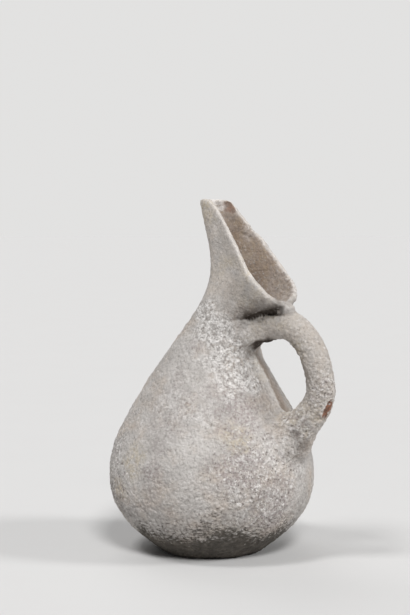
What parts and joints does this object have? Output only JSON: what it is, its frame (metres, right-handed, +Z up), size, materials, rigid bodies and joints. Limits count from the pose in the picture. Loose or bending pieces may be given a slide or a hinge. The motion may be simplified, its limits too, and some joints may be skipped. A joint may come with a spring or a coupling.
{
  "type": "beak-spouted jug",
  "caption": "Hand-built clay jug with a pear-shaped body, a flat foot, a cut-away neck rising into a blunt beak, and a round loop handle from neck to belly.",
  "frame": {"origin": "centre of the flat foot, on the face that the jug stands on", "axes": "+Z up along the body's axis, -X towards the beak, +X towards the handle, +Y square to the plane of beak and handle"},
  "size_m": [0.1512, 0.1288, 0.22],
  "materials": {
    "base_disc": "unglazed, matt, darkened",
    "lower_body": "unglazed, matt, pitted",
    "upper_body": "unglazed, matt, with lime crust",
    "neck_and_beak": "unglazed, matt",
    "handle": "unglazed, matt",
    "lower_luting_collar": "unglazed, matt, smeared by hand",
    "upper_luting_collar": "unglazed, matt, smeared by hand"
  },
  "bodies": {
    "root": {"base_disc": "base_disc", "lower_body": "lower_body", "upper_body": "upper_body", "neck_and_beak": "neck_and_beak", "handle": "handle", "lower_luting_collar": "lower_luting_collar", "upper_luting_collar": "upper_luting_collar"}
  },
  "joints": []
}
